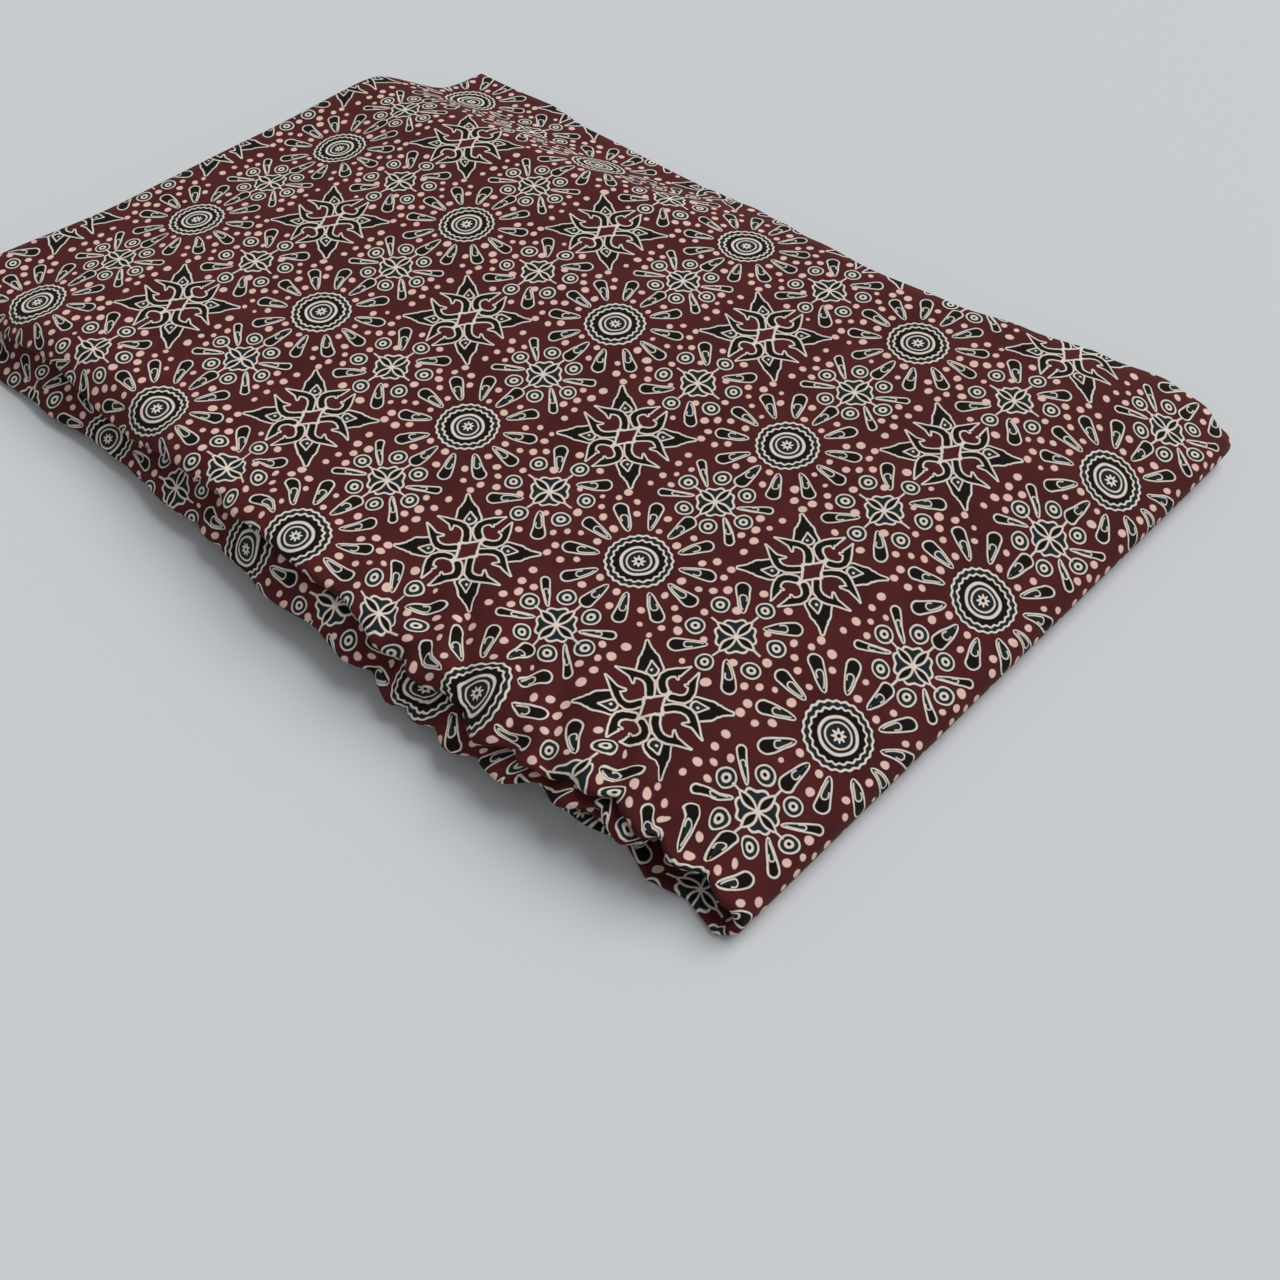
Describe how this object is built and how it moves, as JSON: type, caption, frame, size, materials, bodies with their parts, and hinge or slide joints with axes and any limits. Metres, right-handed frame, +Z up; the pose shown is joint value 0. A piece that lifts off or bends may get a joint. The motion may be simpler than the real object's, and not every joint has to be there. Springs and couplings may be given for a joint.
{
  "type": "folded ajrakh cloth",
  "caption": "Length of block-printed cotton folded back and forth into a soft flat pack, with a doubled spine, uneven back edges and front folds that droop over one side.",
  "frame": {"origin": "middle of the pack's footprint, on the surface it lies on", "axes": "+X from the open end to the doubled spine, +Y from the drooping front folds to the back edges, +Z up through the layers"},
  "size_m": [0.424, 0.3192, 0.0267],
  "materials": {
    "printed_cotton": "matte plain weave, block printed in maroon, black, dark blue and cream"
  },
  "bodies": {
    "root": {"cloth": "printed_cotton"}
  },
  "joints": []
}
